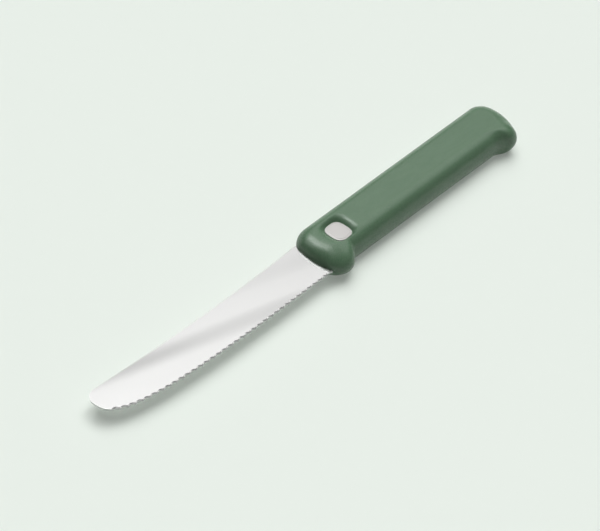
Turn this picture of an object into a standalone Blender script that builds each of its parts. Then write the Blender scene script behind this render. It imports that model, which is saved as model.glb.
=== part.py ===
"""Vegetable knife: a serrated, round-nosed blade whose tang is moulded into a green handle.

The knife lies on the flat of its handle, blade level above the table. +X runs from the nose of
the blade to the butt of the handle, +Y from the cutting edge to the spine, +Z up. Inside the
functions below, X = 0 is the front of the handle and Y = 0 the middle of the grip; one empty
carries every piece and puts the middle of the footprint at the world's origin.
"""
import math

import bmesh
import bpy
from mathutils import Matrix, Vector
from mathutils.geometry import interpolate_bezier

MM = 0.001

# Air left between two pieces that seat on each other
FIT_GAP = 0.3 * MM

# Blade: distances from the front of the handle, heights from the middle of the grip
BLADE_REACH = 107.7 * MM
BLADE_THICKNESS = 1.0 * MM
WAIST_FORWARD = 42.0 * MM
SPINE_AT_WAIST = 7.5 * MM
SPINE_HOLLOW_RADIUS = 926.0 * MM
TIP_CORNER_LENGTH = 4.9 * MM
NOSE_HEIGHT = 5.2 * MM
EDGE_DROP = 11.7 * MM
BELLY_FORWARD = 26.0 * MM
BELLY_PULL = 77.0 * MM
NOSE_PULL = 10.4 * MM
ROUND_PULL = 0.55

# Teeth: round scallops with an upright land, each opening into a flute ground in the upper face
TOOTH_PITCH = 3.0 * MM
TOOTH_DEPTH = 0.6 * MM
TOOTH_TIP_FLAT = 0.25 * MM
TOOTH_LAND = 0.75 * MM
FLUTE_RUN = 0.5 * MM
PLAIN_NOSE = 8.4 * MM
ROUND_SIDES = 48

# Heel and stick tang, hidden in the handle
HEEL_INSIDE = 8.0 * MM
HEEL_FILLET = 3.0 * MM
TANG_LENGTH = 62.0 * MM
TANG_WIDTH = 11.0 * MM
TANG_CENTRE = -1.0 * MM
TANG_END_RADIUS = 3.0 * MM
TANG_ROOT_FILLET = 1.0 * MM
KEY_HOLE_RADIUS = 2.5 * MM
KEY_HOLES_BACK = (28.0 * MM, 50.0 * MM)

# Handle: outline at the mould's parting line
HANDLE_LENGTH = 117.0 * MM
HANDLE_THICKNESS = 13.6 * MM
GRIP_WIDTH = 22.0 * MM
BUTT_TAPER = 0.4 * MM
FRONT_CROWN_RADIUS = 30.0 * MM
FRONT_CROWN_HEIGHT = -1.0 * MM
FRONT_SPINE_RADIUS = 7.4 * MM
FRONT_EDGE_RADIUS = 2.6 * MM
FRONT_EDGE_DROP = 12.5 * MM
GUARD_BACK = 8.2 * MM
GUARD_RADIUS = 6.4 * MM
GUARD_STANDS_OUT = 4.1 * MM
GUARD_HOLLOW_RADIUS = 2.0 * MM
BUTT_CROWN_RADIUS = 25.0 * MM
BUTT_CROWN_HEIGHT = 1.4 * MM
BUTT_SPINE_RADIUS = 7.5 * MM
BUTT_EDGE_RADIUS = 5.0 * MM
FLARE_STANDS_OUT = 2.75 * MM
FLARE_HOLLOW_RADIUS = 9.0 * MM

# Handle: flat broad face, set in from the parting line on every side
FACE_SIDE_INSET = 5.9 * MM
FACE_FRONT_INSET = 7.4 * MM
FACE_BOW = 0.4 * MM
FACE_BUTT_INSET = 5.8 * MM
FACE_FLARE = 3.6 * MM
FACE_FLARE_SETBACK = 4.2 * MM
FACE_CROWN_SETBACK = 1.9 * MM
FACE_CORNER_RADIUS = 4.4 * MM
FACE_SMALL_RADIUS = 2.5 * MM
FACE_CROWN_RADIUS = 13.0 * MM

# Badge, its seat and the soft dish around it
BADGE_BACK = 15.9 * MM
BADGE_HEIGHT = -1.35 * MM
BADGE_LENGTH = 8.55 * MM
BADGE_WIDTH = 10.1 * MM
BADGE_THICKNESS = 0.8 * MM
BADGE_PROUD = 0.25 * MM
BADGE_SQUARENESS = 2.95
BADGE_BORDER = 0.7 * MM
BADGE_FIELD_DEPTH = 0.12 * MM
ADHESIVE_THICKNESS = 0.25 * MM
ADHESIVE_INSET = 0.6 * MM
DISH_DEPTH = 1.85 * MM
DISH_FLOOR_MARGIN = 0.35 * MM
DISH_RUN_TO_BUTT = 3.8 * MM
DISH_RUN_TO_SPINE = 2.3 * MM
DISH_RUN_TO_FRONT = 3.8 * MM
DISH_RUN_TO_EDGE = 2.6 * MM
DISH_WALL_POWER = 2.5
DISH_RIM_SHARE = 0.9

# Fineness of the curves; the counts are the points on the straight after each of nine corners
ARC_POINTS = 9
HANDLE_SIDE_COUNTS = (0, 0, 0, 0, 5, 0, 0, 0, 5)
ROUNDING_STEPS = 8
BEZIER_POINTS = 40
BADGE_POINTS = 48
DISH_STEPS = 8
CUT_PAST = 2.0 * MM
STRAIGHT = 1e-6
CREASE_ANGLE = math.radians(30)

HALF_GRIP = GRIP_WIDTH / 2
MID_HEIGHT = HANDLE_THICKNESS / 2
DISH_FLOOR = HANDLE_THICKNESS - DISH_DEPTH
SEAT_FLOOR = DISH_FLOOR + BADGE_PROUD - BADGE_THICKNESS - ADHESIVE_THICKNESS - 2 * FIT_GAP

COLOURS = {
    "blade": ((0.80, 0.80, 0.79, 1.0), 0.25, 1.0),
    "handle": ((0.145, 0.223, 0.152, 1.0), 0.42, 0.0),
    "badge": ((0.62, 0.60, 0.58, 1.0), 0.45, 0.6),
    "badge_adhesive": ((0.80, 0.79, 0.72, 1.0), 0.70, 0.0),
}


def clear_scene():
    """Removes whatever the file opened with."""
    for old in list(bpy.data.objects):
        bpy.data.objects.remove(old, do_unlink=True)


def new_collection(name):
    """A collection linked to the scene."""
    collection = bpy.data.collections.new(name)
    bpy.context.scene.collection.children.link(collection)
    return collection


def finish_material(name):
    """A plain Principled material in the piece's own colour, roughness and metallic value."""
    colour, roughness, metallic = COLOURS[name]
    material = bpy.data.materials.new(name)
    material.use_nodes = True
    shader = material.node_tree.nodes["Principled BSDF"]
    shader.inputs["Base Color"].default_value = colour
    shader.inputs["Roughness"].default_value = roughness
    shader.inputs["Metallic"].default_value = metallic
    return material


def object_from(bm, name, collection):
    """Turns a bmesh into an object, with its faces pointing out."""
    bmesh.ops.recalc_face_normals(bm, faces=bm.faces)
    mesh = bpy.data.meshes.new(name)
    bm.to_mesh(mesh)
    bm.free()
    piece = bpy.data.objects.new(name, mesh)
    collection.objects.link(piece)
    return piece


def as_cutter(piece):
    """Marks an object as a cutting tool that is no part of the knife."""
    piece.hide_render = True
    piece.display_type = "WIRE"
    return piece


def cut(piece, cutter, overlapping=False):
    """Takes the cutter's shape out of the piece."""
    modifier = piece.modifiers.new(cutter.name, "BOOLEAN")
    modifier.operation = "DIFFERENCE"
    modifier.object = cutter
    modifier.solver = "EXACT"
    modifier.use_self = overlapping
    return modifier


def filleted(corners, side_points):
    """Points round a polygon of (x, y, radius) corners, each corner an arc of its own radius.

    An arc takes at most half of the shorter side beside it. A corner that doesn't turn has its
    points spread over its radius to either side.
    """
    arcs = []
    count = len(corners)
    for i, (x, y, radius) in enumerate(corners):
        corner = Vector((x, y))
        before = Vector(corners[i - 1][:2]) - corner
        after = Vector(corners[(i + 1) % count][:2]) - corner
        room = min(before.length, after.length) / 2
        before.normalize()
        after.normalize()
        half = before.angle(after) / 2
        middle = before + after
        if middle.length < STRAIGHT:
            arcs.append([corner + after * radius * (2 * k / (ARC_POINTS - 1) - 1) for k in range(ARC_POINTS)])
            continue
        reach = min(radius / math.tan(half), room)
        centre = corner + middle.normalized() * reach / math.cos(half)
        arcs.append(arc_between(centre, corner + before * reach, corner + after * reach))
    return joined(arcs, side_points)


def arc_between(centre, start, end):
    """The shorter arc from start to end about a centre."""
    first = math.atan2(start.y - centre.y, start.x - centre.x)
    last = math.atan2(end.y - centre.y, end.x - centre.x)
    sweep = (last - first + math.pi) % (2 * math.pi) - math.pi
    radius = (start - centre).length
    turns = [first + sweep * k / (ARC_POINTS - 1) for k in range(ARC_POINTS)]
    return [centre + radius * Vector((math.cos(a), math.sin(a))) for a in turns]


def joined(arcs, side_points):
    """Links arcs with straight sides that hold the given numbers of points."""
    outline = []
    for i, arc in enumerate(arcs):
        outline.extend(arc)
        start = arc[-1]
        end = arcs[(i + 1) % len(arcs)][0]
        share = side_points[i] + 1
        outline.extend(start.lerp(end, k / share) for k in range(1, share))
    return outline


def chained(circles, side_points):
    """The outline that runs round circles in turn, joined by their common tangents.

    A circle is (x, y, radius), taken counter-clockwise; a negative radius is a hollow, which the
    outline passes on its other side. Circles that touch need no straight between them.
    """
    count = len(circles)
    headings = []
    for i in range(count):
        x0, y0, r0 = circles[i]
        x1, y1, r1 = circles[(i + 1) % count]
        apart = math.hypot(x1 - x0, y1 - y0)
        step = r1 - r0
        straight = math.sqrt(max(apart * apart - step * step, 0.0))
        headings.append(math.atan2(y1 - y0, x1 - x0) - math.atan2(step, straight))
    arcs = []
    for i, (x, y, radius) in enumerate(circles):
        first = headings[i - 1] - math.pi / 2
        sweep = (headings[i] - headings[i - 1] + math.pi) % (2 * math.pi) - math.pi
        turns = [first + sweep * k / (ARC_POINTS - 1) for k in range(ARC_POINTS)]
        arcs.append([Vector((x + radius * math.cos(a), y + radius * math.sin(a))) for a in turns])
    return joined(arcs, side_points)


def beside(radius_sum, rise):
    """How far apart two touching circles stand along the grip, for a given rise between them."""
    return math.sqrt(radius_sum * radius_sum - rise * rise)


def guard_hollow_back():
    """How far behind the handle's front the middle of the hollow behind the guard lies."""
    radius_sum = GUARD_RADIUS + GUARD_HOLLOW_RADIUS
    return GUARD_BACK + beside(radius_sum, radius_sum - GUARD_STANDS_OUT)


def butt_edge_centre():
    """The middle of the butt's round corner on the edge side."""
    height = BUTT_EDGE_RADIUS - HALF_GRIP - BUTT_TAPER - FLARE_STANDS_OUT
    span = beside(BUTT_CROWN_RADIUS - BUTT_EDGE_RADIUS, height - BUTT_CROWN_HEIGHT)
    return Vector((HANDLE_LENGTH - BUTT_CROWN_RADIUS + span, height))


def flare_hollow_back():
    """How far behind the handle's front the middle of the hollow before the butt's flare lies."""
    radius_sum = BUTT_EDGE_RADIUS + FLARE_HOLLOW_RADIUS
    return butt_edge_centre().x - beside(radius_sum, radius_sum - FLARE_STANDS_OUT)


def parting_outline():
    """The handle's outline where the two halves of its mould meet, counter-clockwise."""
    front_x = FRONT_CROWN_RADIUS
    spine_y = HALF_GRIP - FRONT_SPINE_RADIUS
    spine_x = front_x - beside(FRONT_CROWN_RADIUS - FRONT_SPINE_RADIUS, spine_y - FRONT_CROWN_HEIGHT)
    lip_y = FRONT_EDGE_RADIUS - FRONT_EDGE_DROP
    lip_x = front_x - beside(FRONT_CROWN_RADIUS - FRONT_EDGE_RADIUS, lip_y - FRONT_CROWN_HEIGHT)
    guard_y = GUARD_RADIUS - HALF_GRIP - GUARD_STANDS_OUT
    butt_half = HALF_GRIP + BUTT_TAPER
    butt_spine_y = butt_half - BUTT_SPINE_RADIUS
    crown_x = HANDLE_LENGTH - BUTT_CROWN_RADIUS
    butt_spine_span = beside(BUTT_CROWN_RADIUS - BUTT_SPINE_RADIUS, butt_spine_y - BUTT_CROWN_HEIGHT)
    circles = [
        (spine_x, spine_y, FRONT_SPINE_RADIUS),
        (front_x, FRONT_CROWN_HEIGHT, FRONT_CROWN_RADIUS),
        (lip_x, lip_y, FRONT_EDGE_RADIUS),
        (GUARD_BACK, guard_y, GUARD_RADIUS),
        (guard_hollow_back(), -HALF_GRIP - GUARD_HOLLOW_RADIUS, -GUARD_HOLLOW_RADIUS),
        (flare_hollow_back(), -butt_half - FLARE_HOLLOW_RADIUS, -FLARE_HOLLOW_RADIUS),
        (*butt_edge_centre(), BUTT_EDGE_RADIUS),
        (crown_x, BUTT_CROWN_HEIGHT, BUTT_CROWN_RADIUS),
        (crown_x + butt_spine_span, butt_spine_y, BUTT_SPINE_RADIUS),
    ]
    return chained(circles, HANDLE_SIDE_COUNTS)


def face_outline():
    """The flat broad face, with one corner for each arc of the parting outline."""
    top = HALF_GRIP - FACE_SIDE_INSET
    butt_top = top + BUTT_TAPER
    front = FACE_FRONT_INSET
    butt = HANDLE_LENGTH - FACE_BUTT_INSET
    hollow = guard_hollow_back()
    hollow_reach = GUARD_HOLLOW_RADIUS / 4
    guard_start = front + FACE_BOW + FACE_SMALL_RADIUS
    guard_end = hollow - hollow_reach
    corners = [
        (front + FACE_BOW, top, FACE_CORNER_RADIUS),
        (front, FRONT_CROWN_HEIGHT, FACE_CROWN_RADIUS),
        (front + FACE_BOW, -top, FACE_SMALL_RADIUS),
        ((guard_start + guard_end) / 2, -top, (guard_end - guard_start) / 2),
        (hollow, -top, hollow_reach),
        (flare_hollow_back(), -butt_top, FACE_CROWN_RADIUS),
        (butt - FACE_FLARE_SETBACK, -butt_top - FACE_FLARE, FACE_SMALL_RADIUS),
        (butt, BUTT_CROWN_HEIGHT, FACE_CROWN_RADIUS),
        (butt - FACE_CROWN_SETBACK, butt_top, FACE_CORNER_RADIUS),
    ]
    return filleted(corners, HANDLE_SIDE_COUNTS)


def loft(rings, name, collection):
    """A closed solid through rings of equal point counts, capped at both ends."""
    bm = bmesh.new()
    loops = [[bm.verts.new(point) for point in ring] for ring in rings]
    count = len(rings[0])
    for lower, upper in zip(loops, loops[1:]):
        for i in range(count):
            j = (i + 1) % count
            bm.faces.new((lower[i], lower[j], upper[j], upper[i]))
    bm.faces.new(loops[0][::-1])
    bm.faces.new(loops[-1])
    bmesh.ops.remove_doubles(bm, verts=bm.verts, dist=STRAIGHT)
    return object_from(bm, name, collection)


def handle_body(collection):
    """The moulded body: from the flat underside round the parting line to the flat top."""
    parting = parting_outline()
    face = face_outline()
    rings = []
    for step in range(-ROUNDING_STEPS, ROUNDING_STEPS + 1):
        turn = math.pi / 2 * step / ROUNDING_STEPS
        height = MID_HEIGHT * (1 + math.sin(turn))
        ring = [inner.lerp(outer, math.cos(turn)) for inner, outer in zip(face, parting)]
        rings.append([(point.x, point.y, height) for point in ring])
    return loft(rings, "handle", collection)


def grown_cushion(butt, spine, front, edge, height):
    """The badge's cushion outline at a height, grown by its own distance towards each side."""
    power = 2 / BADGE_SQUARENESS
    ring = []
    for k in range(BADGE_POINTS):
        turn = 2 * math.pi * k / BADGE_POINTS
        across = math.cos(turn)
        along = math.sin(turn)
        half_length = BADGE_LENGTH / 2 + (butt if across > 0 else front)
        half_width = BADGE_WIDTH / 2 + (spine if along > 0 else edge)
        x = BADGE_BACK + math.copysign(half_length * abs(across) ** power, across)
        y = BADGE_HEIGHT + math.copysign(half_width * abs(along) ** power, along)
        ring.append((x, y, height))
    return ring


def cushion(grow, height):
    """The badge's cushion outline at a height, grown evenly."""
    return grown_cushion(grow, grow, grow, grow, height)


def dish_ring(share, height):
    """The dish's outline where its wall has run a share of its way out towards each side."""
    runs = (DISH_RUN_TO_BUTT, DISH_RUN_TO_SPINE, DISH_RUN_TO_FRONT, DISH_RUN_TO_EDGE)
    return grown_cushion(*[DISH_FLOOR_MARGIN + run * share for run in runs], height)


def dish_cutter(collection):
    """A soft dish: flat floor, and a wall that is steepest at its foot and rolls out level at the face."""
    rings = []
    for step in range(DISH_STEPS + 1):
        share = DISH_RIM_SHARE * step / DISH_STEPS
        height = DISH_FLOOR + DISH_DEPTH * (1 - (1 - share) ** DISH_WALL_POWER)
        rings.append(dish_ring(share, height))
    last_rise = DISH_DEPTH * DISH_WALL_POWER * (1 - share) ** (DISH_WALL_POWER - 1)
    rings.append(dish_ring(share + 1, height + last_rise))
    rings.append(dish_ring(share + 1, height + CUT_PAST))
    return as_cutter(loft(rings, "dish_cutter", collection))


def seat_cutter(collection):
    """The straight-walled seat that the badge and its adhesive drop into."""
    rings = [cushion(FIT_GAP, SEAT_FLOOR), cushion(FIT_GAP, DISH_FLOOR + DISH_DEPTH / 2)]
    return as_cutter(loft(rings, "seat_cutter", collection))


def badge(collection):
    """The bare plate in the dish: a thin raised border round a plain field."""
    base = DISH_FLOOR + BADGE_PROUD - BADGE_THICKNESS
    top = DISH_FLOOR + BADGE_PROUD
    edge_break = BADGE_FIELD_DEPTH
    rings = [
        cushion(0, base),
        cushion(0, top - edge_break),
        cushion(-edge_break, top),
        cushion(-BADGE_BORDER, top),
        cushion(-BADGE_BORDER - edge_break, top - BADGE_FIELD_DEPTH),
    ]
    return loft(rings, "badge", collection)


def badge_adhesive(collection):
    """The pad of double-sided adhesive between the badge and the floor of its seat."""
    base = SEAT_FLOOR + FIT_GAP
    rings = [cushion(-ADHESIVE_INSET, base), cushion(-ADHESIVE_INSET, base + ADHESIVE_THICKNESS)]
    return loft(rings, "badge_adhesive", collection)


def bezier(start, start_handle, end_handle, end):
    """Points along a Bezier curve, without its last one."""
    points = [Vector((*p, 0)) for p in (start, start_handle, end_handle, end)]
    return [p.to_2d() for p in interpolate_bezier(*points, BEZIER_POINTS)][:-1]


def edge_path():
    """The line of the tooth tips, from the heel along the belly to the foremost point of the nose."""
    heel = Vector((HEEL_INSIDE - HEEL_FILLET, -EDGE_DROP))
    belly = Vector((-BELLY_FORWARD, -EDGE_DROP))
    nose = Vector((-BLADE_REACH, NOSE_HEIGHT))
    curve = bezier(belly, belly - Vector((BELLY_PULL, 0)), nose - Vector((0, NOSE_PULL)), nose)
    return [heel] + curve + [nose]


def spine_height(along_x):
    """Height of the slightly hollow spine, which is an arc about a point far above its waist."""
    away = along_x + WAIST_FORWARD
    return SPINE_AT_WAIST + SPINE_HOLLOW_RADIUS - math.sqrt(SPINE_HOLLOW_RADIUS ** 2 - away ** 2)


def spine_path():
    """From the nose round the tip's corner and along the spine to the heel."""
    nose = Vector((-BLADE_REACH, NOSE_HEIGHT))
    corner_x = TIP_CORNER_LENGTH - BLADE_REACH
    corner = Vector((corner_x, spine_height(corner_x)))
    lead = corner_x - TIP_CORNER_LENGTH * ROUND_PULL
    rise = Vector((0, (corner.y - NOSE_HEIGHT) * ROUND_PULL))
    tip = bezier(nose, nose + rise, Vector((lead, spine_height(lead))), corner)
    run = HEEL_INSIDE - HEEL_FILLET - corner_x
    stations = [corner_x + run * k / BEZIER_POINTS for k in range(BEZIER_POINTS + 1)]
    return tip[1:] + [Vector((x, spine_height(x))) for x in stations]


def tang_corners(grow):
    """Heel and stick tang as filleted corners, from the spine side round to the edge side."""
    heel_x = HEEL_INSIDE + grow
    end_x = TANG_LENGTH + grow
    upper = TANG_CENTRE + TANG_WIDTH / 2 + grow
    lower = TANG_CENTRE - TANG_WIDTH / 2 - grow
    root = TANG_ROOT_FILLET
    return [
        (heel_x, spine_height(HEEL_INSIDE - HEEL_FILLET) + grow, HEEL_FILLET),
        (heel_x, upper, root),
        (end_x, upper, TANG_END_RADIUS),
        (end_x, lower, TANG_END_RADIUS),
        (heel_x, lower, root),
        (heel_x, -EDGE_DROP - grow, HEEL_FILLET),
    ]


def plate(points, thickness, name, collection):
    """A flat plate at the blade's height: a filled outline extruded by half its thickness each way."""
    curve = bpy.data.curves.new(name, "CURVE")
    curve.dimensions = "2D"
    curve.fill_mode = "BOTH"
    curve.extrude = thickness / 2
    spline = curve.splines.new("POLY")
    spline.points.add(len(points) - 1)
    for knot, point in zip(spline.points, points):
        knot.co = (point.x, point.y, 0, 1)
    spline.use_cyclic_u = True
    outline = bpy.data.objects.new(name + "_outline", curve)
    collection.objects.link(outline)
    outline.location.z = MID_HEIGHT
    bpy.context.view_layer.update()
    flat = bpy.data.meshes.new_from_object(outline.evaluated_get(bpy.context.evaluated_depsgraph_get()))
    bm = bmesh.new()
    bm.from_mesh(flat)
    bmesh.ops.transform(bm, matrix=outline.matrix_world, verts=bm.verts)
    bmesh.ops.remove_doubles(bm, verts=bm.verts, dist=STRAIGHT)
    bpy.data.meshes.remove(flat)
    bpy.data.objects.remove(outline)
    return object_from(bm, name, collection)


def turned_corner_points(corners):
    """The filleted corners' own points, without the sides that would close the polygon."""
    before = (-BLADE_REACH, corners[0][1], 0.0)
    after = (-BLADE_REACH, corners[-1][1], 0.0)
    closed = corners + [after, before]
    return filleted(closed, [0] * len(closed))[:ARC_POINTS * len(corners)]


def blade_blank(collection):
    """The stamped steel blank, blade and tang in one, before its teeth are ground."""
    points = edge_path()[1:] + spine_path()[:-1] + turned_corner_points(tang_corners(0))
    return plate(points, BLADE_THICKNESS, "blade", collection)


def pocket_cutter(collection):
    """The space that heel and tang take in the handle, open at the front."""
    corners = tang_corners(FIT_GAP)
    mouth = [Vector((-CUT_PAST, corners[-1][1])), Vector((-CUT_PAST, corners[0][1]))]
    points = mouth + turned_corner_points(corners)
    pocket = plate(points, BLADE_THICKNESS + 2 * FIT_GAP, "pocket_cutter", collection)
    cut(pocket, key_pins(KEY_HOLE_RADIUS - FIT_GAP, "post_cutter", collection))
    return as_cutter(pocket)


def key_pins(radius, name, collection):
    """Round bars through the tang's keying holes."""
    bm = bmesh.new()
    for back in KEY_HOLES_BACK:
        place = Matrix.Translation((back, TANG_CENTRE, MID_HEIGHT))
        bmesh.ops.create_cone(bm, cap_ends=True, segments=ROUND_SIDES, radius1=radius, radius2=radius,
                              depth=2 * CUT_PAST, matrix=place)
    return as_cutter(object_from(bm, name, collection))


def along(path, distance):
    """The point and the heading at a distance along a path."""
    for start, end in zip(path, path[1:]):
        step = (end - start).length
        if distance <= step:
            return start.lerp(end, distance / step), (end - start).normalized()
        distance -= step
    return path[-1].copy(), (path[-1] - path[-2]).normalized()


def flute_cutter(collection):
    """One round bar for each tooth gap: upright beside the land, slanting in over the flute."""
    path = edge_path()[::-1]
    length = sum((b - a).length for a, b in zip(path, path[1:]))
    half_gap = (TOOTH_PITCH - TOOTH_TIP_FLAT) / 2
    radius = (half_gap * half_gap + TOOTH_DEPTH * TOOTH_DEPTH) / (2 * TOOTH_DEPTH)
    foot = MID_HEIGHT - BLADE_THICKNESS / 2 + TOOTH_LAND
    slant = FLUTE_RUN / (BLADE_THICKNESS - TOOTH_LAND)
    bm = bmesh.new()
    for tooth in range(int((length - PLAIN_NOSE) / TOOTH_PITCH)):
        point, heading = along(path, PLAIN_NOSE + TOOTH_PITCH * (tooth + 0.5))
        outward = Vector((heading.y, -heading.x, 0))
        centre = Vector((point.x, point.y, foot)) + outward * (radius - TOOTH_DEPTH)
        bar = bmesh.ops.create_cone(bm, cap_ends=True, segments=ROUND_SIDES, radius1=radius, radius2=radius,
                                    depth=2 * BLADE_THICKNESS, matrix=Matrix.Translation(centre))["verts"]
        body = bar + list({e for v in bar for e in v.link_edges}) + list({f for v in bar for f in v.link_faces})
        bmesh.ops.bisect_plane(bm, geom=body, dist=STRAIGHT, plane_co=centre, plane_no=(0, 0, 1))
        for vertex in bar:
            if vertex.co.z > foot:
                vertex.co -= outward * slant * (vertex.co.z - foot)
    return as_cutter(object_from(bm, "flute_cutter", collection))


def smooth_shaded(piece):
    """Smooth shading, kept crisp at real edges."""
    piece.data.shade_smooth()
    piece.data.set_sharp_from_angle(angle=CREASE_ANGLE)
    return piece


def footprint_centre():
    """The middle of the whole knife's footprint, in the knife's own X and Y."""
    points = parting_outline() + edge_path() + spine_path()
    low = Vector((min(p.x for p in points), min(p.y for p in points)))
    high = Vector((max(p.x for p in points), max(p.y for p in points)))
    return (low + high) / 2


def build():
    """Models the four pieces and sets them on one carrier."""
    clear_scene()
    parts = new_collection("vegetable_knife")
    cutters = new_collection("cutters")

    handle = handle_body(parts)
    cut(handle, dish_cutter(cutters))
    cut(handle, seat_cutter(cutters))
    pocket = pocket_cutter(cutters)
    cut(handle, pocket)

    blade = blade_blank(parts)
    holes = key_pins(KEY_HOLE_RADIUS, "key_hole_cutter", cutters)
    cut(blade, holes)
    flutes = flute_cutter(cutters)
    cut(blade, flutes, overlapping=True)

    pieces = [handle, blade, badge(parts), badge_adhesive(parts)]
    centre = footprint_centre()
    carrier = bpy.data.objects.new("carrier", None)
    parts.objects.link(carrier)
    carrier.location = (-centre.x, -centre.y, 0)
    for piece in pieces:
        smooth_shaded(piece)
        piece.data.materials.append(finish_material(piece.name))
        piece.parent = carrier
    for tool in list(cutters.objects):
        tool.parent = carrier


build()
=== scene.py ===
import math

import bmesh
import bpy
from mathutils import Matrix, Vector
from mathutils.geometry import interpolate_bezier


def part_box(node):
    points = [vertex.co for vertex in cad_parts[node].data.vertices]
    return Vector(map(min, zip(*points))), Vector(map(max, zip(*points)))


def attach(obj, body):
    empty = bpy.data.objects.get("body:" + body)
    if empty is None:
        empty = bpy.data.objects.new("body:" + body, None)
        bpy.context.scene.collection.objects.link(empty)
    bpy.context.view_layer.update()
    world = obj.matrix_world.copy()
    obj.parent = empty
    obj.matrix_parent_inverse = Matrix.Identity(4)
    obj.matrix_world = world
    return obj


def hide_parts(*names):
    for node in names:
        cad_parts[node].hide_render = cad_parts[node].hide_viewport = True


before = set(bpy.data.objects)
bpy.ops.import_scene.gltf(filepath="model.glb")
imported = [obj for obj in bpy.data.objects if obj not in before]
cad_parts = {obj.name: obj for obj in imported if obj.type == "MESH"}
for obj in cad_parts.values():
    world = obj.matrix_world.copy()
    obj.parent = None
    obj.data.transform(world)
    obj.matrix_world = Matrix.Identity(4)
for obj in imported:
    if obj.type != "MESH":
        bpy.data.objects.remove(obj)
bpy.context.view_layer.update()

MM = 0.001

# Blade, as the solids have it: lengths from the front of the handle, heights from the grip's middle
BLADE_REACH = 107.7 * MM
BLADE_THICKNESS = 1.0 * MM
WAIST_FORWARD = 42.0 * MM
SPINE_AT_WAIST = 7.5 * MM
SPINE_HOLLOW_RADIUS = 926.0 * MM
TIP_CORNER_LENGTH = 4.9 * MM
NOSE_HEIGHT = 5.2 * MM
EDGE_DROP = 11.7 * MM
BELLY_FORWARD = 26.0 * MM
BELLY_PULL = 77.0 * MM
NOSE_PULL = 10.4 * MM
ROUND_PULL = 0.55
TOOTH_PITCH = 3.0 * MM
TOOTH_DEPTH = 0.6 * MM
TOOTH_TIP_FLAT = 0.25 * MM
TOOTH_LAND = 0.75 * MM
FLUTE_RUN = 0.5 * MM
PLAIN_NOSE = 8.4 * MM
EDGE_BREAK = 0.06 * MM

# Heel and tang inside the handle
HEEL_INSIDE = 8.0 * MM
HEEL_FILLET = 3.0 * MM
TANG_LENGTH = 62.0 * MM
TANG_WIDTH = 11.0 * MM
TANG_CENTRE = -1.0 * MM
TANG_END_RADIUS = 3.0 * MM
TANG_ROOT_FILLET = 1.0 * MM

# Handle outline at the parting line of its mould
HANDLE_LENGTH = 117.0 * MM
HANDLE_THICKNESS = 13.6 * MM
HALF_GRIP = 11.0 * MM
BUTT_TAPER = 0.4 * MM
FRONT_CROWN_RADIUS = 30.0 * MM
FRONT_CROWN_HEIGHT = -1.0 * MM
FRONT_SPINE_RADIUS = 7.4 * MM
FRONT_EDGE_RADIUS = 8.0 * MM
FRONT_EDGE_DROP = 15.2 * MM
GUARD_BACK = 8.2 * MM
GUARD_RADIUS = 6.4 * MM
GUARD_STANDS_OUT = 4.1 * MM
GUARD_HOLLOW_RADIUS = 2.0 * MM
BUTT_CROWN_RADIUS = 25.0 * MM
BUTT_CROWN_HEIGHT = 1.4 * MM
BUTT_SPINE_RADIUS = 7.5 * MM
BUTT_EDGE_RADIUS = 5.0 * MM
FLARE_STANDS_OUT = 2.75 * MM
FLARE_HOLLOW_RADIUS = 9.0 * MM

# Flat broad face, set in from the parting line
FACE_SIDE_INSET = 5.9 * MM
FACE_FRONT_INSET = 7.4 * MM
FACE_BOW = 0.4 * MM
FACE_BUTT_INSET = 5.8 * MM
FACE_FLARE = 3.6 * MM
FACE_FLARE_SETBACK = 4.2 * MM
FACE_CROWN_SETBACK = 1.9 * MM
FACE_CORNER_RADIUS = 4.4 * MM
FACE_SMALL_RADIUS = 2.5 * MM
FACE_CROWN_RADIUS = 13.0 * MM

# Badge and its dish
BADGE_BACK = 15.9 * MM
BADGE_HEIGHT = -1.35 * MM
BADGE_LENGTH = 8.55 * MM
BADGE_WIDTH = 10.1 * MM
BADGE_THICKNESS = 0.8 * MM
BADGE_PROUD = 0.25 * MM
BADGE_SQUARENESS = 2.95
BADGE_BORDER = 0.7 * MM
BADGE_FIELD_DEPTH = 0.12 * MM
DISH_DEPTH = 1.85 * MM
DISH_FLOOR_MARGIN = 0.35 * MM
DISH_RUN_TO_BUTT = 3.8 * MM
DISH_RUN_TO_SPINE = 2.3 * MM
DISH_RUN_TO_FRONT = 3.8 * MM
DISH_RUN_TO_EDGE = 2.6 * MM
DISH_WALL_POWER = 2.5
DISH_RIM_SHARE = 0.9
SEAT_BELOW_BADGE = 0.85 * MM

# Fineness: points on an arc, on each side of the handle's outline, and on other curves
ARC_POINTS = 33
HANDLE_SIDE_COUNTS = (0, 0, 0, 0, 24, 0, 0, 0, 24)
ROUNDING_STEPS = 28
CURVE_POINTS = 160
BADGE_POINTS = 144
DISH_STEPS = 28
BAR_SIDES = 96
RIM_SEGMENTS = 2
BADGE_EDGE_SEGMENTS = 3

# The hair of air round what the handle holds, how far a cutter reaches past, and what counts as nothing
HAIR = 0.02 * MM
CUT_PAST = 2.0 * MM
TINY = 0.001 * MM

# Edges that turn less than this, in degrees, are shaded smooth
SMOOTH_BELOW = 30
SMOOTH_BELOW_ON_BLADE = 25

# Upright share of a face's normal: above the first it is the blade's ground face, below the second
# its rim, and between them a flute
GROUND_FACE_UPRIGHT = 0.97
RIM_UPRIGHT = 0.05

# The slow waves of the blade's face run aslant: middle, width and height of each, across the slant
WAVE_SLANT = 3.24
WAVES = ((-18.1 * MM, 11.0 * MM, -0.29 * MM), (0.0 * MM, 10.0 * MM, -0.07 * MM))

# The mould's parting line: a fine ridge, with a painted highlight along it; half widths of its crest
# and of its foot
PARTING_RIDGE_AND_HIGHLIGHT_CREST = 0.03 * MM
PARTING_RIDGE_AND_HIGHLIGHT_FOOT = 0.09 * MM

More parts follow.
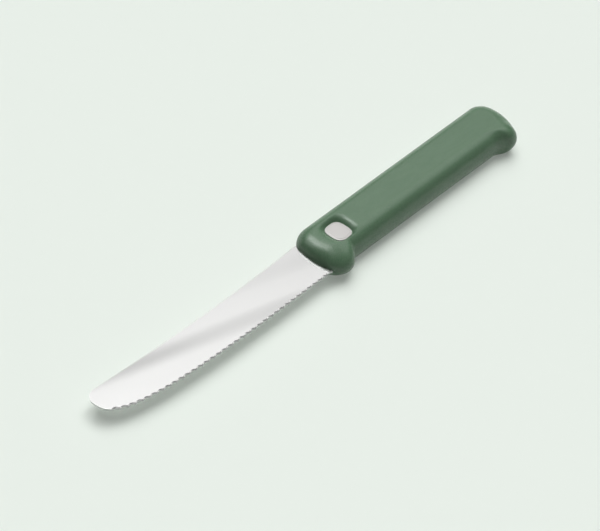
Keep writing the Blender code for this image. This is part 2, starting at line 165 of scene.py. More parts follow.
# The floor: what it looks like in full light, and the share of that which no shadow takes away
FLOOR_COLOUR = (0.806, 0.863, 0.806, 1)
FLOOR_GLOW = 0.2
FLOOR_SPECK = 0.003
FLOOR_RADIUS = 4.0
FLOOR_SIDES = 96

# The studio: its even light, its walls, and the dome that its light panels lie on
AMBIENT = 0.02
WALL_AWAY = 1.5
WALL_FOOT = 0.02
WALL_SIDES = 64
PANEL_AWAY = 1.0
PANEL_CELLS = 12

MID_HEIGHT = HANDLE_THICKNESS / 2
DISH_FLOOR = HANDLE_THICKNESS - DISH_DEPTH

# The knife's own zero, front of the handle and middle of the grip, where the badge says it is
badge_low, badge_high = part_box("badge")
badge_middle = (badge_low + badge_high) / 2
ZERO = Vector((badge_middle.x - BADGE_BACK, badge_middle.y - BADGE_HEIGHT, 0))

# Camera, from the fit to the photograph: rise and turn in degrees, lens and sensor in millimetres,
# and the point of the knife's own frame that it looks at
CAMERA_RISE = 44.0
CAMERA_TURN = -46.5
CAMERA_AWAY = 0.768
CAMERA_LENS = 119.4
CAMERA_SENSOR = 36.0
CAMERA_SEES_FROM = 0.01
CAMERA_LOOKS_AT = Vector((-4.6, -0.2, 7.0)) * MM


def arc_between(centre, start, end):
    """The shorter arc from start to end about a centre."""
    first = math.atan2(start.y - centre.y, start.x - centre.x)
    last = math.atan2(end.y - centre.y, end.x - centre.x)
    sweep = (last - first + math.pi) % (2 * math.pi) - math.pi
    radius = (start - centre).length
    turns = [first + sweep * k / (ARC_POINTS - 1) for k in range(ARC_POINTS)]
    return [centre + radius * Vector((math.cos(a), math.sin(a))) for a in turns]


def joined(arcs, side_points):
    """Links arcs with straight sides that hold the given numbers of points."""
    outline = []
    for i, arc in enumerate(arcs):
        outline.extend(arc)
        start = arc[-1]
        end = arcs[(i + 1) % len(arcs)][0]
        steps = side_points[i] + 1
        outline.extend(start.lerp(end, k / steps) for k in range(1, steps))
    return outline


def filleted(corners, side_points):
    """Points round a polygon of (x, y, radius) corners; an arc takes at most half of a side."""
    arcs = []
    count = len(corners)
    for i, (x, y, radius) in enumerate(corners):
        corner = Vector((x, y))
        before = Vector(corners[i - 1][:2]) - corner
        after = Vector(corners[(i + 1) % count][:2]) - corner
        room = min(before.length, after.length) / 2
        before.normalize()
        after.normalize()
        half = before.angle(after) / 2
        middle = before + after
        if middle.length < TINY:
            shares = [2 * k / (ARC_POINTS - 1) - 1 for k in range(ARC_POINTS)]
            arcs.append([corner + after * radius * share for share in shares])
            continue
        reach = min(radius / math.tan(half), room)
        centre = corner + middle.normalized() * reach / math.cos(half)
        arcs.append(arc_between(centre, corner + before * reach, corner + after * reach))
    return joined(arcs, side_points)


def chained(circles, side_points):
    """The outline round circles by their common tangents; a negative radius is a hollow."""
    count = len(circles)
    headings = []
    for i in range(count):
        x0, y0, r0 = circles[i]
        x1, y1, r1 = circles[(i + 1) % count]
        apart = math.hypot(x1 - x0, y1 - y0)
        straight = math.sqrt(max(apart * apart - (r1 - r0) ** 2, 0.0))
        headings.append(math.atan2(y1 - y0, x1 - x0) - math.atan2(r1 - r0, straight))
    arcs = []
    for i, (x, y, radius) in enumerate(circles):
        first = headings[i - 1] - math.pi / 2
        sweep = (headings[i] - headings[i - 1] + math.pi) % (2 * math.pi) - math.pi
        turns = [first + sweep * k / (ARC_POINTS - 1) for k in range(ARC_POINTS)]
        arcs.append([Vector((x + radius * math.cos(a), y + radius * math.sin(a))) for a in turns])
    return joined(arcs, side_points)


def beside(radius_sum, rise):
    """How far apart two touching circles stand along the grip, for a given rise between them."""
    return math.sqrt(radius_sum * radius_sum - rise * rise)


def guard_hollow_back():
    """How far behind the handle's front the hollow behind the guard lies."""
    radius_sum = GUARD_RADIUS + GUARD_HOLLOW_RADIUS
    return GUARD_BACK + beside(radius_sum, radius_sum - GUARD_STANDS_OUT)


def butt_edge_centre():
    """The middle of the butt's round corner on the edge side."""
    height = BUTT_EDGE_RADIUS - HALF_GRIP - BUTT_TAPER - FLARE_STANDS_OUT
    span = beside(BUTT_CROWN_RADIUS - BUTT_EDGE_RADIUS, height - BUTT_CROWN_HEIGHT)
    return Vector((HANDLE_LENGTH - BUTT_CROWN_RADIUS + span, height))


def flare_hollow_back():
    """How far behind the handle's front the hollow before the butt's flare lies."""
    radius_sum = BUTT_EDGE_RADIUS + FLARE_HOLLOW_RADIUS
    return butt_edge_centre().x - beside(radius_sum, radius_sum - FLARE_STANDS_OUT)


def parting_outline():
    """The handle's outline at the parting line, counter-clockwise."""
    front_x = FRONT_CROWN_RADIUS
    spine_y = HALF_GRIP - FRONT_SPINE_RADIUS
    spine_span = beside(FRONT_CROWN_RADIUS - FRONT_SPINE_RADIUS, spine_y - FRONT_CROWN_HEIGHT)
    lip_y = FRONT_EDGE_RADIUS - FRONT_EDGE_DROP
    lip_span = beside(FRONT_CROWN_RADIUS - FRONT_EDGE_RADIUS, lip_y - FRONT_CROWN_HEIGHT)
    guard_y = GUARD_RADIUS - HALF_GRIP - GUARD_STANDS_OUT
    butt_half = HALF_GRIP + BUTT_TAPER
    crown_x = HANDLE_LENGTH - BUTT_CROWN_RADIUS
    butt_y = butt_half - BUTT_SPINE_RADIUS
    butt_span = beside(BUTT_CROWN_RADIUS - BUTT_SPINE_RADIUS, butt_y - BUTT_CROWN_HEIGHT)
    circles = [
        (front_x - spine_span, spine_y, FRONT_SPINE_RADIUS),
        (front_x, FRONT_CROWN_HEIGHT, FRONT_CROWN_RADIUS),
        (front_x - lip_span, lip_y, FRONT_EDGE_RADIUS),
        (GUARD_BACK, guard_y, GUARD_RADIUS),
        (guard_hollow_back(), -HALF_GRIP - GUARD_HOLLOW_RADIUS, -GUARD_HOLLOW_RADIUS),
        (flare_hollow_back(), -butt_half - FLARE_HOLLOW_RADIUS, -FLARE_HOLLOW_RADIUS),
        (*butt_edge_centre(), BUTT_EDGE_RADIUS),
        (crown_x, BUTT_CROWN_HEIGHT, BUTT_CROWN_RADIUS),
        (crown_x + butt_span, butt_y, BUTT_SPINE_RADIUS),
    ]
    return chained(circles, HANDLE_SIDE_COUNTS)


def face_outline():
    """The flat broad face, with one corner for each arc of the parting outline."""
    top = HALF_GRIP - FACE_SIDE_INSET
    butt_top = top + BUTT_TAPER
    front = FACE_FRONT_INSET
    butt = HANDLE_LENGTH - FACE_BUTT_INSET
    hollow = guard_hollow_back()
    hollow_reach = GUARD_HOLLOW_RADIUS / 4
    guard_start = front + FACE_BOW + FACE_SMALL_RADIUS
    guard_end = hollow - hollow_reach
    corners = [
        (front + FACE_BOW, top, FACE_CORNER_RADIUS),
        (front, FRONT_CROWN_HEIGHT, FACE_CROWN_RADIUS),
        (front + FACE_BOW, -top, FACE_SMALL_RADIUS),
        ((guard_start + guard_end) / 2, -top, (guard_end - guard_start) / 2),
        (hollow, -top, hollow_reach),
        (flare_hollow_back(), -butt_top, FACE_CROWN_RADIUS),
        (butt - FACE_FLARE_SETBACK, -butt_top - FACE_FLARE, FACE_SMALL_RADIUS),
        (butt, BUTT_CROWN_HEIGHT, FACE_CROWN_RADIUS),
        (butt - FACE_CROWN_SETBACK, butt_top, FACE_CORNER_RADIUS),
    ]
    return filleted(corners, HANDLE_SIDE_COUNTS)


def placed(data, name):
    """Makes an object of some data and puts it in the scene."""
    made = bpy.data.objects.new(name, data)
    bpy.context.scene.collection.objects.link(made)
    return made


def meshed(bm, name):
    """Makes an object of a bmesh and clears the bmesh away."""
    mesh = bpy.data.meshes.new(name)
    bm.to_mesh(mesh)
    bm.free()
    return placed(mesh, name)


def new_piece(bm, name):
    """Makes an object of a bmesh that is in the knife's own frame, put where the frame has it."""
    bmesh.ops.remove_doubles(bm, verts=bm.verts, dist=TINY)
    bmesh.ops.recalc_face_normals(bm, faces=bm.faces)
    bmesh.ops.translate(bm, vec=ZERO, verts=bm.verts)
    return meshed(bm, name)


def ring(bm, points):
    """A closed loop of edges through points."""
    verts = [bm.verts.new(point) for point in points]
    return [bm.edges.new((verts[i - 1], verts[i])) for i in range(len(verts))]


def bridged(rings):
    """A closed shape through rings, bridged one to the next and filled at both ends."""
    bm = bmesh.new()
    loops = [ring(bm, points) for points in rings]
    for lower, upper in zip(loops, loops[1:]):
        bmesh.ops.bridge_loops(bm, edges=lower + upper)
    bmesh.ops.contextual_create(bm, geom=loops[0])
    bmesh.ops.contextual_create(bm, geom=loops[-1])
    return bm


def cut(piece, cutter, overlapping=False):
    """Takes the cutter's shape out of the piece for good, and clears the cutter away."""
    modifier = piece.modifiers.new(cutter.name, "BOOLEAN")
    modifier.operation = "DIFFERENCE"
    modifier.object = cutter
    modifier.solver = "EXACT"
    modifier.use_self = overlapping
    settle(piece)
    bpy.data.objects.remove(cutter)


def settle(piece):
    """Turns what a piece's modifiers make into its own mesh."""
    bpy.context.view_layer.update()
    evaluated = piece.evaluated_get(bpy.context.evaluated_depsgraph_get())
    made = bpy.data.meshes.new_from_object(evaluated)
    made.name = piece.name
    piece.modifiers.clear()
    piece.data = made


def smooth_shaded(piece, angle=SMOOTH_BELOW):
    """Smooth shading that stays crisp at real edges and flat on flat faces."""
    piece.data.shade_smooth()
    piece.data.set_sharp_from_angle(angle=math.radians(angle))
    modifier = piece.modifiers.new("flat_faces_lead", "WEIGHTED_NORMAL")
    modifier.keep_sharp = True
    settle(piece)


def grown_cushion(butt, spine, front, edge, height):
    """The badge's cushion outline at a height, grown by its own distance towards each side."""
    power = 2 / BADGE_SQUARENESS
    points = []
    for k in range(BADGE_POINTS):
        turn = 2 * math.pi * k / BADGE_POINTS
        across = math.cos(turn)
        along = math.sin(turn)
        half_length = BADGE_LENGTH / 2 + (butt if across > 0 else front)
        half_width = BADGE_WIDTH / 2 + (spine if along > 0 else edge)
        x = BADGE_BACK + math.copysign(half_length * abs(across) ** power, across)
        y = BADGE_HEIGHT + math.copysign(half_width * abs(along) ** power, along)
        points.append((x, y, height))
    return points


def cushion(grow, height):
    """The badge's cushion outline at a height, grown evenly."""
    return grown_cushion(grow, grow, grow, grow, height)


def dish_ring(share, height):
    """The dish's outline where its wall has run a share of its way out towards each side."""
    runs = (DISH_RUN_TO_BUTT, DISH_RUN_TO_SPINE, DISH_RUN_TO_FRONT, DISH_RUN_TO_EDGE)
    return grown_cushion(*[DISH_FLOOR_MARGIN + run * share for run in runs], height)


def dish_cutter():
    """The soft dish: its wall is steep at the flat floor and nearly level at the face."""
    rings = []
    for step in range(DISH_STEPS + 1):
        share = DISH_RIM_SHARE * step / DISH_STEPS
        height = DISH_FLOOR + DISH_DEPTH * (1 - (1 - share) ** DISH_WALL_POWER)
        rings.append(dish_ring(share, height))
    last_rise = DISH_DEPTH * DISH_WALL_POWER * (1 - share) ** (DISH_WALL_POWER - 1)
    rings.append(dish_ring(share + 1, height + last_rise))
    rings.append(dish_ring(share + 1, height + CUT_PAST))
    return new_piece(bridged(rings), "dish_cutter")


def seat_cutter():
    """The seat of the badge, a hair wider than the badge."""
    bottom = DISH_FLOOR + BADGE_PROUD - BADGE_THICKNESS - SEAT_BELOW_BADGE
    rings = [cushion(HAIR, bottom), cushion(HAIR, DISH_FLOOR + DISH_DEPTH / 2)]
    return new_piece(bridged(rings), "seat_cutter")


def bezier(start, start_handle, end_handle, end):
    """Points along a Bezier curve, without its last one."""
    points = [Vector((*p, 0)) for p in (start, start_handle, end_handle, end)]
    return [p.to_2d() for p in interpolate_bezier(*points, CURVE_POINTS)][:-1]


def edge_path():
    """The line of the tooth tips, from the heel to the foremost point of the nose."""
    heel = Vector((HEEL_INSIDE - HEEL_FILLET, -EDGE_DROP))
    belly = Vector((-BELLY_FORWARD, -EDGE_DROP))
    nose = Vector((-BLADE_REACH, NOSE_HEIGHT))
    curve = bezier(belly, belly - Vector((BELLY_PULL, 0)), nose - Vector((0, NOSE_PULL)), nose)
    return [heel] + curve + [nose]


def spine_height(along_x):
    """Height of the slightly hollow spine."""
    away = along_x + WAIST_FORWARD
    return SPINE_AT_WAIST + SPINE_HOLLOW_RADIUS - math.sqrt(SPINE_HOLLOW_RADIUS ** 2 - away ** 2)


def spine_path():
    """From the nose round the tip's corner and along the spine to the heel."""
    nose = Vector((-BLADE_REACH, NOSE_HEIGHT))
    corner_x = TIP_CORNER_LENGTH - BLADE_REACH
    corner = Vector((corner_x, spine_height(corner_x)))
    lead = corner_x - TIP_CORNER_LENGTH * ROUND_PULL
    rise = Vector((0, (corner.y - NOSE_HEIGHT) * ROUND_PULL))
    tip = bezier(nose, nose + rise, Vector((lead, spine_height(lead))), corner)
    run = HEEL_INSIDE - HEEL_FILLET - corner_x
    stations = [corner_x + run * k / CURVE_POINTS for k in range(CURVE_POINTS + 1)]
    return tip[1:] + [Vector((x, spine_height(x))) for x in stations]


def tang_points(grow):
    """Heel and stick tang, from the spine side round to the edge side."""
    heel_x = HEEL_INSIDE + grow
    end_x = TANG_LENGTH + grow
    upper = TANG_CENTRE + TANG_WIDTH / 2 + grow
    lower = TANG_CENTRE - TANG_WIDTH / 2 - grow
    corners = [
        (heel_x, spine_height(HEEL_INSIDE - HEEL_FILLET) + grow, HEEL_FILLET),
        (heel_x, upper, TANG_ROOT_FILLET),
        (end_x, upper, TANG_END_RADIUS),
        (end_x, lower, TANG_END_RADIUS),
        (heel_x, lower, TANG_ROOT_FILLET),
        (heel_x, -EDGE_DROP - grow, HEEL_FILLET),
        (-BLADE_REACH, -EDGE_DROP - grow, 0.0),
        (-BLADE_REACH, spine_height(HEEL_INSIDE - HEEL_FILLET) + grow, 0.0),
    ]
    return filleted(corners, [0] * len(corners))[:ARC_POINTS * (len(corners) - 2)]


def slab(points, thickness):
    """A flat slab that rises from a loop of points, and its top face."""
    bm = bmesh.new()
    face = bmesh.ops.contextual_create(bm, geom=ring(bm, points))["faces"]
    grown = bmesh.ops.extrude_face_region(bm, geom=face)["geom"]
    corners = [part for part in grown if isinstance(part, bmesh.types.BMVert)]
    bmesh.ops.translate(bm, vec=(0, 0, thickness), verts=corners)
    return bm, [part for part in grown if isinstance(part, bmesh.types.BMFace)]


def plate(points, thickness, edge_break=0.0):
    """A flat plate at the blade's height, its rims broken by a small bevel."""
    bm, _ = slab([(p.x, p.y, MID_HEIGHT - thickness / 2) for p in points], thickness)
    if edge_break:
        rims = [e for e in bm.edges if abs(e.verts[0].co.z - e.verts[1].co.z) < TINY]
        bmesh.ops.bevel(bm, geom=rims, offset=edge_break, segments=RIM_SEGMENTS, profile=0.5,
                        affect="EDGES", material=-1, clamp_overlap=True)
    return bm


def along(path, distance):
    """The point and the heading at a distance along a path."""
    for start, end in zip(path, path[1:]):
        step = (end - start).length
        if distance <= step:
            return start.lerp(end, distance / step), (end - start).normalized()
        distance -= step
    return path[-1].copy(), (path[-1] - path[-2]).normalized()


def flute_cutter(shrink=0.0):
    """One round bar for each tooth gap: upright beside the land, slanting in over the flute."""
    path = edge_path()[::-1]
    length = sum((b - a).length for a, b in zip(path, path[1:]))
    half_gap = (TOOTH_PITCH - TOOTH_TIP_FLAT) / 2
    radius = (half_gap * half_gap + TOOTH_DEPTH * TOOTH_DEPTH) / (2 * TOOTH_DEPTH)
    foot = MID_HEIGHT - BLADE_THICKNESS / 2 + TOOTH_LAND
    slant = FLUTE_RUN / (BLADE_THICKNESS - TOOTH_LAND)
    bm = bmesh.new()
    for tooth in range(int((length - PLAIN_NOSE) / TOOTH_PITCH)):
        point, heading = along(path, PLAIN_NOSE + TOOTH_PITCH * (tooth + 0.5))
        outward = Vector((heading.y, -heading.x, 0))
        centre = Vector((point.x, point.y, foot)) + outward * (radius - TOOTH_DEPTH)
        bar = bmesh.ops.create_cone(bm, cap_ends=True, segments=BAR_SIDES, radius1=radius - shrink,
                                    radius2=radius - shrink, depth=2 * BLADE_THICKNESS,
                                    matrix=Matrix.Translation(centre))["verts"]
        edges = {edge for vertex in bar for edge in vertex.link_edges}
        faces = {face for vertex in bar for face in vertex.link_faces}
        bmesh.ops.bisect_plane(bm, geom=[*bar, *edges, *faces], dist=TINY, plane_co=centre,
                               plane_no=(0, 0, 1))
        for vertex in bar:
            if vertex.co.z > foot:
                vertex.co -= outward * slant * (vertex.co.z - foot)
    return new_piece(bm, "flute_cutter")


class Wire:
    """A socket of a shader tree that adds Math nodes when it is reckoned with."""

    def __init__(self, shading, socket):
        self.shading = shading
        self.socket = socket

    def reckon(self, operation, *terms):
        """One Math node on terms, which are wires or plain numbers."""
        sockets = dict(enumerate(terms))
        return self.shading.node("ShaderNodeMath", {"operation": operation}, sockets)

    def __add__(self, other):
        return self.reckon("ADD", self, other)

    def __sub__(self, other):
        return self.reckon("SUBTRACT", self, other)

    def __mul__(self, other):
        return self.reckon("MULTIPLY", self, other)

    def __truediv__(self, other):
        return self.reckon("DIVIDE", self, other)

    def __rsub__(self, other):
        return self.reckon("SUBTRACT", other, self)

    def __rtruediv__(self, other):
        return self.reckon("DIVIDE", other, self)

    def __abs__(self):
        return self.reckon("ABSOLUTE", self)

    __radd__ = __add__
    __rmul__ = __mul__


class Shading:
    """The shader tree of a material or a world, under construction."""

    def __init__(self, owner):
        owner.use_nodes = True
        self.tree = owner.node_tree

    def node(self, kind, settings=None, sockets=None, output=0):
        """Adds a node: its settings first, then the values or wires of its sockets."""
        made = self.tree.nodes.new(kind)
        for key, value in (settings or {}).items():
            setattr(made, key, value)
        for key, value in (sockets or {}).items():
            self.feed(made.inputs[key], value)
        return Wire(self, made.outputs[output]) if made.outputs else None

    def feed(self, socket, value):
        """Gives a socket a wire or a plain value."""
        if isinstance(value, Wire):
            self.tree.links.new(value.socket, socket)
        else:
            socket.default_value = value

    def blend(self, share, first, second):
        """A colour between two."""
        sockets = {0: share, 6: first, 7: second}
        return self.node("ShaderNodeMix", {"data_type": "RGBA"}, sockets, output=2)

    def seen(self):
        """1 for what the camera sees, straight, in a mirror or through something clear."""
        straight, mirrored, through = [
            self.node("ShaderNodeLightPath", output=f"Is {kind} Ray")
            for kind in ("Camera", "Glossy", "Transmission")]
        return straight.reckon("MAXIMUM", straight, mirrored.reckon("MAXIMUM", mirrored, through))


class Finish(Shading):
    """A procedural material round a Principled shader."""

    def __init__(self, name, **constants):
        self.material = bpy.data.materials.new(name)
        super().__init__(self.material)
        self.shader = self.tree.nodes["Principled BSDF"]
        for socket, value in constants.items():
            self.set(socket.replace("_", " "), value)
        self.place = self.node("ShaderNodeTexCoord", output="Object")

    def set(self, socket, value):
        """Gives one of the shader's sockets a wire or a plain value."""
        self.feed(self.shader.inputs[socket], value)

    def axis(self, letter):
        """One coordinate in the knife's own frame, in metres."""
        apart = self.node("ShaderNodeSeparateXYZ", sockets={"Vector": self.place}, output=letter)
        return apart - ZERO["XYZ".index(letter)]

    def noise(self, per_metre, detail=3.0):
        """Noise from 0 to 1, with a number of grains per metre along each axis."""
        sockets = {"Vector": self.place, "Scale": per_metre}
        stretched = self.node("ShaderNodeMapping", sockets=sockets)
        return self.node("ShaderNodeTexNoise", {"normalize": True},
                         {"Vector": stretched, "Scale": 1.0, "Detail": detail, "Roughness": 0.5})

    def step(self, value, low, high):
        """Goes smoothly from 0 at low to 1 at high."""
        return self.node("ShaderNodeMapRange", {"interpolation_type": "SMOOTHSTEP", "clamp": True},
                         {"Value": value, "From Min": low, "From Max": high})

    def bump(self, height, distance=1.0, over=None):
        """A bump of a height, in metres once it is multiplied by the distance."""
        sockets = {"Height": height, "Distance": distance, "Strength": 1.0}
        if over is not None:
            sockets["Normal"] = over
        return self.node("ShaderNodeBump", sockets=sockets)


def satin_steel():
    """The blade's ground face: fine lines across it, and the slow waves that grinding leaves."""
    finish = Finish("satin_steel", Metallic=1.0)
    lines = finish.noise((5200.0, 160.0, 160.0), detail=4.0)
    patches = finish.noise((90.0, 160.0, 90.0), detail=2.0)
    finish.set("Base Color", finish.blend(patches, (0.80, 0.80, 0.79, 1), (0.83, 0.83, 0.82, 1)))
    finish.set("Roughness", 0.17 + (lines - 0.5) * 0.06 + (patches - 0.5) * 0.05)
    across = (finish.axis("X") + finish.axis("Y") * WAVE_SLANT) / math.hypot(1, WAVE_SLANT)
    waves = 0
    for middle, width, rise in WAVES:
        waves = finish.step(across, middle - width / 2, middle + width / 2) * rise + waves
    ground = finish.bump(waves)
    finish.set("Normal", finish.bump(lines, distance=0.0006 * MM, over=ground))
    return finish.material


def flute_steel_with_painted_glint():
    """The ground flutes and the rim's broken edges: lines along each flute, and a steel colour lighter
    than the face's, partly their ground finish and partly painted glint.
    """
    finish = Finish("flute_steel_with_painted_glint", Metallic=1.0)
    lines = finish.noise((9000.0, 700.0, 700.0), detail=3.0)
    # Lighter than the ground face: painted glint on the flutes and the rim's broken edges.
    finish.set("Base Color", finish.blend(lines, (0.86, 0.86, 0.85, 1), (0.90, 0.90, 0.89, 1)))
    finish.set("Roughness", 0.30 + (lines - 0.5) * 0.12)
    finish.set("Normal", finish.bump(lines, distance=0.002 * MM))
    return finish.material


def stamped_rim_with_painted_shade():
    """The rim that the press leaves all round the blade: dull and rough, its steel colour darker than
    the face's, partly that dull finish and partly painted shade.
    """
    finish = Finish("stamped_rim_with_painted_shade", Metallic=1.0)
    streaks = finish.noise((4000.0, 4000.0, 300.0), detail=3.0)
    # Darker than the ground face: painted shade on the upright rim, over its dull pressed finish.
    finish.set("Base Color", finish.blend(streaks, (0.50, 0.51, 0.50, 1), (0.58, 0.59, 0.58, 1)))
    finish.set("Roughness", 0.48 + (streaks - 0.5) * 0.2)
    finish.set("Normal", finish.bump(streaks, distance=0.006 * MM))
    return finish.material


def moulded_plastic():
    """Satin grey-green plastic: fine spark-eroded grain, slow mottling, and a faint parting line, a
    fine ridge with a painted highlight along it.
    """
    finish = Finish("moulded_plastic", IOR=1.54)
    grain = finish.noise((4200.0, 4200.0, 4200.0), detail=2.0)
    flow = finish.noise((60.0, 160.0, 160.0), detail=2.0)
    swirl = finish.noise((700.0, 700.0, 700.0), detail=1.0)
    parting = 1 - finish.step(abs(finish.axis("Z") - MID_HEIGHT), PARTING_RIDGE_AND_HIGHLIGHT_CREST, PARTING_RIDGE_AND_HIGHLIGHT_FOOT)
    tint = finish.blend(flow, (0.093, 0.174, 0.100, 1), (0.099, 0.182, 0.106, 1))
    # The paler colour along the parting line is a painted highlight on its ridge.
    finish.set("Base Color", finish.blend(parting * 0.35, tint, (0.19, 0.27, 0.20, 1)))
    finish.set("Roughness", 0.27 + (grain - 0.5) * 0.10 + (flow - 0.5) * 0.05 - parting * 0.08)
    skin = finish.bump(swirl, distance=0.004 * MM)
    finish.set("Normal", finish.bump(grain + parting * 1.5, distance=0.005 * MM, over=skin))
    return finish.material


def badge_alloy():
    """The badge's satin plate, brushed lengthwise, its raised rim a little brighter than the field: a
    painted highlight.
    """
    finish = Finish("badge_alloy", Metallic=0.55)
    lines = finish.noise((500.0, 9000.0, 500.0), detail=3.0)
    raised_rim_painted_highlight = finish.step(finish.axis("Z"), DISH_FLOOR + BADGE_PROUD - BADGE_FIELD_DEPTH,
                         DISH_FLOOR + BADGE_PROUD)
    field = finish.blend(lines, (0.46, 0.445, 0.435, 1), (0.50, 0.485, 0.475, 1))
    # The raised rim is lighter than the field: a painted highlight.
    finish.set("Base Color", finish.blend(raised_rim_painted_highlight * 0.6, field, (0.60, 0.585, 0.57, 1)))
    finish.set("Roughness", 0.42 + (lines - 0.5) * 0.15)
    finish.set("Normal", finish.bump(lines, distance=0.002 * MM))
    return finish.material


def adhesive_foam():
    """The thin foam pad under the badge."""
    finish = Finish("adhesive_foam")
    cells = finish.noise((6000.0, 6000.0, 6000.0), detail=2.0)
    finish.set("Base Color", finish.blend(cells, (0.74, 0.73, 0.66, 1), (0.82, 0.81, 0.75, 1)))
    finish.set("Roughness", 0.72 + (cells - 0.5) * 0.1)
    finish.set("Normal", finish.bump(cells, distance=0.02 * MM))
    return finish.material


def make_handle():
    """The moulded handle, with its dish, the badge's seat and the tang's pocket."""
    parting = parting_outline()
    face = face_outline()
    rings = []
    for step in range(-ROUNDING_STEPS, ROUNDING_STEPS + 1):
        turn = math.pi / 2 * step / ROUNDING_STEPS
        height = MID_HEIGHT * (1 + math.sin(turn))
        points = [inner.lerp(outer, math.cos(turn)) for inner, outer in zip(face, parting)]
        rings.append([(point.x, point.y, height) for point in points])
    handle = new_piece(bridged(rings), "moulded_handle")
    cut(handle, dish_cutter())
    cut(handle, seat_cutter())
    mouth = [Vector((-CUT_PAST, -EDGE_DROP - HAIR)), Vector((-CUT_PAST, spine_height(0) + HAIR))]
    around_blade = plate(mouth + tang_points(HAIR), BLADE_THICKNESS + 2 * HAIR)
    pocket = new_piece(around_blade, "pocket_cutter")
    cut(pocket, flute_cutter(HAIR), overlapping=True)
    cut(handle, pocket)
    smooth_shaded(handle)
    handle.data.materials.append(moulded_plastic())
    return handle


def make_blade():
    """The blade with its tang, its flutes, and a finish for face, flute and rim."""
    points = edge_path()[1:] + spine_path()[:-1] + tang_points(0)
    blade = new_piece(plate(points, BLADE_THICKNESS, EDGE_BREAK), "ground_blade")
    cut(blade, flute_cutter(), overlapping=True)
    smooth_shaded(blade, SMOOTH_BELOW_ON_BLADE)
    for finish in (satin_steel(), flute_steel_with_painted_glint(), stamped_rim_with_painted_shade()):
        blade.data.materials.append(finish)
    # Each face takes its steel by which way it looks: the flutes and broken edges lighter, as painted
    # glint, and the upright rim darker, as painted shade.
    for face in blade.data.polygons:
        upright = abs(face.normal.z)
        face.material_index = (upright <= GROUND_FACE_UPRIGHT) + (upright < RIM_UPRIGHT)
    return blade


def make_badge():
    """The bare plate: a raised border, softly broken, round a plain field."""
    base = DISH_FLOOR + BADGE_PROUD - BADGE_THICKNESS
    bm, top = slab(cushion(0, base), BADGE_THICKNESS)
    bmesh.ops.inset_region(bm, faces=top, thickness=BADGE_BORDER, depth=0)
    bmesh.ops.inset_region(bm, faces=top, thickness=BADGE_FIELD_DEPTH, depth=-BADGE_FIELD_DEPTH)
    sharp = math.radians(SMOOTH_BELOW)
    crisp = [edge for edge in bm.edges
             if edge.calc_face_angle(0) > sharp and edge.verts[0].co.z > base + HAIR]
    bmesh.ops.bevel(bm, geom=crisp, offset=BADGE_FIELD_DEPTH / 3, segments=BADGE_EDGE_SEGMENTS,
                    profile=0.5, affect="EDGES", material=-1)
    badge = new_piece(bm, "bare_badge")
    smooth_shaded(badge)
    badge.data.materials.append(badge_alloy())
    return badge


def staged(bm, name):
    """Makes an object of a bmesh that is no part of the knife."""
    made = meshed(bm, name)
    return made


def floor():
    """The pale floor, which keeps the knife's shadow."""
    bm = bmesh.new()
    bmesh.ops.create_circle(bm, cap_ends=True, segments=FLOOR_SIDES, radius=FLOOR_RADIUS)
    finish = Finish("pale_floor", Roughness=0.9, Specular_IOR_Level=0.0, Emission_Strength=1.0)
    speck = finish.noise((900.0, 900.0, 900.0), detail=1.0)
    dark, light = [(*[shade * (1 - FLOOR_GLOW) * share for shade in FLOOR_COLOUR[:3]], 1)
                   for share in (1 - FLOOR_SPECK, 1 + FLOOR_SPECK)]
    finish.set("Base Color", finish.blend(speck, dark, light))
    glow = [shade * FLOOR_GLOW for shade in FLOOR_COLOUR[:3]]
    finish.set("Emission Color", finish.blend(finish.seen(), (0, 0, 0, 1), (*glow, 1)))
    staged(bm, "floor").data.materials.append(finish.material)


def towards(rise, turn):
    """The direction of a rise over the floor and a turn about the upright axis, in degrees."""
    rise = math.radians(rise)
    turn = math.radians(turn)
    level = math.cos(rise)
    return Vector((math.sin(turn) * level, -math.cos(turn) * level, math.sin(rise)))


def sun(name, rise, turn, angle, strength, shadow=True):
    """A soft light from far away, whose strength is what it gives a surface that faces it."""
    lamp = bpy.data.lights.new(name, "SUN")
    lamp.angle = math.radians(angle)
    lamp.energy = strength * math.pi
    lamp.use_shadow = shadow
    made = placed(lamp, name)
    made.rotation_euler = towards(rise, turn).to_track_quat("Z", "Y").to_euler()
    made.visible_glossy = False


def only_reflected(bm, name, strength):
    """Makes a glowing surface that nothing but reflections sees."""
    made = staged(bm, name)
    made.visible_camera = False
    made.visible_diffuse = False
    made.visible_shadow = False
    made.visible_transmission = False
    material = bpy.data.materials.new(name)
    shading = Shading(material)
    shading.tree.nodes.clear()
    glow = shading.node("ShaderNodeEmission", sockets={"Strength": strength})
    shading.node("ShaderNodeOutputMaterial", sockets={"Surface": glow})
    made.data.materials.append(material)


def panel(name, rises, turns, strength):
    """A light panel on a dome round the knife, from one rise and turn to the other."""
    bm = bmesh.new()
    bmesh.ops.create_grid(bm, x_segments=PANEL_CELLS, y_segments=PANEL_CELLS, size=0.5)
    for vertex in bm.verts:
        rise = rises[0] + (rises[1] - rises[0]) * (vertex.co.y + 0.5)
        turn = turns[0] + (turns[1] - turns[0]) * (vertex.co.x + 0.5)
        vertex.co = towards(rise, turn) * PANEL_AWAY
    only_reflected(bm, name, strength)


def studio_walls(strength):
    """The dim room round the light panels."""
    bm = bmesh.new()
    bmesh.ops.create_cone(bm, cap_ends=True, segments=WALL_SIDES, radius1=WALL_AWAY,
                          radius2=WALL_AWAY, depth=2 * WALL_AWAY)
    bmesh.ops.bisect_plane(bm, geom=[*bm.verts, *bm.edges, *bm.faces], plane_co=(0, 0, WALL_FOOT),
                           plane_no=(0, 0, 1), clear_inner=True)
    only_reflected(bm, "studio_walls", strength)


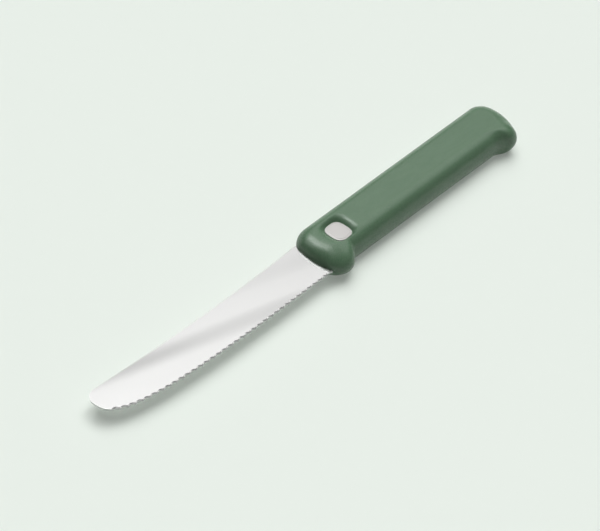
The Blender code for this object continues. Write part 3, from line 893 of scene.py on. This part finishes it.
def surroundings():
    """The world: an even dim light, and the floor's colour wherever it is seen."""
    world = bpy.data.worlds.new("studio")
    bpy.context.scene.world = world
    shading = Shading(world)
    shading.tree.nodes.clear()
    colour = shading.blend(shading.seen(), (AMBIENT, AMBIENT, AMBIENT, 1), FLOOR_COLOUR)
    sky = shading.node("ShaderNodeBackground", sockets={"Color": colour})
    shading.node("ShaderNodeOutputWorld", sockets={"Surface": sky})


def camera():
    """The camera at the photograph's angle."""
    lens = bpy.data.cameras.new("camera")
    lens.sensor_width = CAMERA_SENSOR
    lens.lens = CAMERA_LENS
    lens.clip_start = CAMERA_SEES_FROM
    made = placed(lens, "camera")
    back = towards(CAMERA_RISE, CAMERA_TURN)
    made.location = ZERO + CAMERA_LOOKS_AT + back * CAMERA_AWAY
    made.rotation_euler = back.to_track_quat("Z", "Y").to_euler()
    bpy.context.scene.camera = made


for piece, node, slot in ((make_handle(), "handle", "handle_plastic"),
                          (make_blade(), "blade", "steel"),
                          (make_badge(), "badge", "badge_metal")):
    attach(piece, "root")
    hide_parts(node)
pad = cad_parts["badge_adhesive"]
pad.data.materials.clear()
pad.data.materials.append(adhesive_foam())

floor()
surroundings()

# Soft lights, which metal and plastic don't mirror: rise, turn and width in degrees, and strength
sun("high_back", 75, 120, 60, 0.51)
sun("back", 60, 135, 40, 0.13)
sun("right", 60, 90, 30, 0.21)
sun("low_back", 45, 135, 30, 0.03)
sun("left", 75, 225, 30, 0.02)
sun("above", 88, 0, 30, 0.04)
sun("fill", 35, 135, 30, 0.2, shadow=False)

# What metal and plastic mirror: rises and turns of each panel in degrees, and strength
studio_walls(0.15)
panel("upper_back", (44, 60), (105, 165), 1.08)
panel("lower_back", (30, 44), (105, 145), 0.74)
panel("back_horizon", (0, 15), (105, 210), 0.85)
panel("top_back", (60, 80), (135, 165), 3.9)
panel("highlight", (50, 70), (165, 195), 5.6)
panel("highlight_edge", (50, 70), (195, 210), 9.0)
panel("highlight_foot", (40, 50), (165, 210), 2.4)
panel("left_back", (30, 60), (210, 225), 1.8)
panel("far_left", (60, 80), (210, 300), 0.6)
panel("right_back", (35, 62), (47, 105), 1.15)
panel("near_low", (8, 40), (-75, 60), 0.3)
panel("overhead", (80, 90), (0, 360), 1.0)
camera()
bpy.context.scene.view_settings.view_transform = "Standard"
